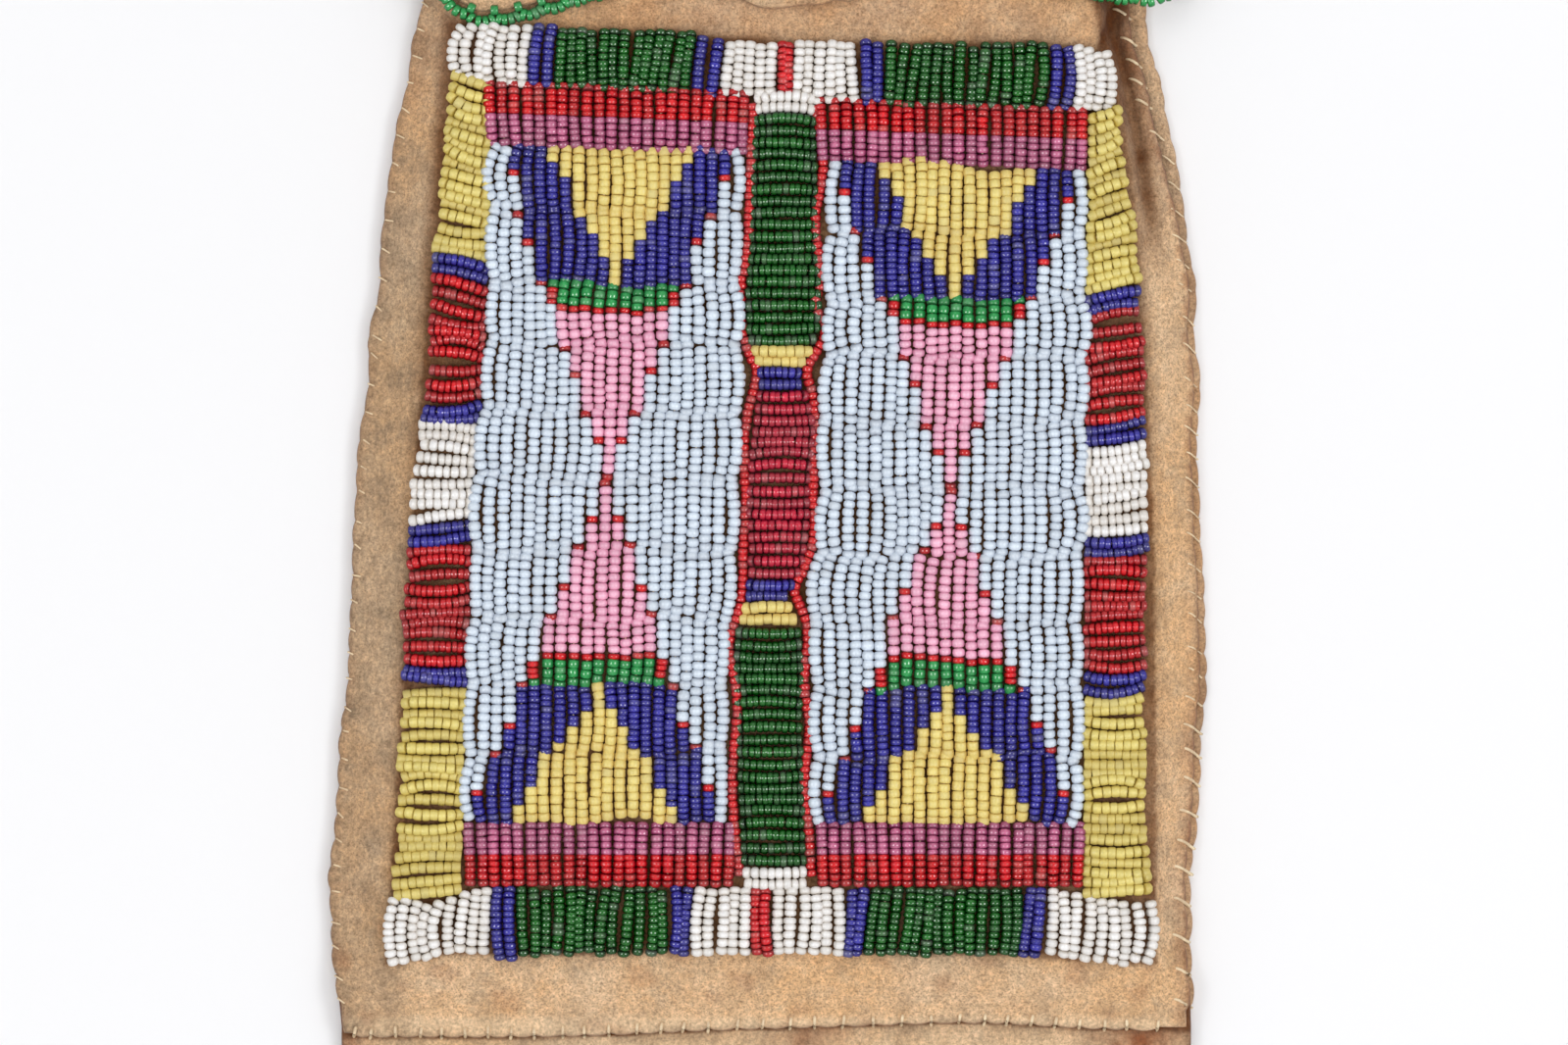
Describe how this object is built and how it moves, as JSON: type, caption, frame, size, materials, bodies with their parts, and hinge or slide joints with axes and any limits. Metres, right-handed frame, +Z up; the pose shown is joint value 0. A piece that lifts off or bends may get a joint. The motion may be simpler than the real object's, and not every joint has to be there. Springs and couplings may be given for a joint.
{
  "type": "beaded document bag",
  "caption": "Flat hide pouch for papers, with a fold-over flap, a front covered in stitched glass bead panels, beaded flap edges and a plain hide strip at the foot.",
  "frame": {"origin": "on the table under the middle of the bag, which lies on its back with the flap closed", "axes": "+X across the bag to the right as seen with the flap at the top, +Y along the bag from the foot to the fold, +Z up out of the beadwork"},
  "size_m": [0.1518, 0.268, 0.01],
  "materials": {
    "hide": "soft brain-tanned hide, smoked golden brown, nap side out",
    "white": "opaque chalk white seed beads",
    "light_blue": "opaque pale blue seed beads, dusty in every other string",
    "navy": "dark translucent blue seed beads",
    "yellow": "opaque olive yellow seed beads",
    "pale_yellow": "opaque pale yellow seed beads",
    "green": "dark translucent green seed beads",
    "leaf_green": "opaque leaf green seed beads",
    "pink": "opaque rose pink seed beads",
    "red": "translucent red seed beads over a white heart",
    "dark_red": "dark translucent red seed beads",
    "purple": "translucent purple seed beads"
  },
  "bodies": {
    "bag": {"back_panel": "hide", "bottom_band": "hide", "bottom_border": "green", "centre_lane_dark_red": "dark_red", "centre_lane_foot_white": "white", "centre_lane_head_white": "white", "centre_lane_lower_green": "green", "centre_lane_lower_navy": "navy", "centre_lane_lower_yellow": "yellow", "centre_lane_upper_green": "green", "centre_lane_upper_navy": "navy", "centre_lane_upper_yellow": "yellow", "front_panel": "hide", "left_border": "yellow", "left_panel_bottom_band_purple": "purple", "left_panel_bottom_band_red": "red", "left_panel_light_blue_left": "light_blue", "left_panel_light_blue_right": "light_blue", "left_panel_lower_leaf_green": "leaf_green", "left_panel_lower_navy_left": "navy", "left_panel_lower_navy_right": "navy", "left_panel_lower_red": "red", "left_panel_lower_yellow": "pale_yellow", "left_panel_pink": "pink", "left_panel_top_band_purple": "purple", "left_panel_top_band_red": "red", "left_panel_upper_leaf_green": "leaf_green", "left_panel_upper_navy_left": "navy", "left_panel_upper_navy_right": "navy", "left_panel_upper_red": "red", "left_panel_upper_yellow": "pale_yellow", "left_red_line": "red", "right_border": "yellow", "right_panel_bottom_band_purple": "purple", "right_panel_bottom_band_red": "red", "right_panel_light_blue_left": "light_blue", "right_panel_light_blue_right": "light_blue", "right_panel_lower_leaf_green": "leaf_green", "right_panel_lower_navy_left": "navy", "right_panel_lower_navy_right": "navy", "right_panel_lower_red": "red", "right_panel_lower_yellow": "pale_yellow", "right_panel_pink": "pink", "right_panel_top_band_purple": "purple", "right_panel_top_band_red": "red", "right_panel_upper_leaf_green": "leaf_green", "right_panel_upper_navy_left": "navy", "right_panel_upper_navy_right": "navy", "right_panel_upper_red": "red", "right_panel_upper_yellow": "pale_yellow", "right_red_line": "red", "top_border": "green"},
    "flap": {"flap": "hide", "flap_edge_beads_left": "leaf_green", "flap_edge_beads_right": "leaf_green"}
  },
  "joints": [
    {"name": "flap_hinge", "type": "hinge", "parent": "bag", "child": "flap", "pos_m": [0, 0.1343, 0.0052], "axis": [-1, 0, 0], "range_deg": [0, 180]}
  ]
}
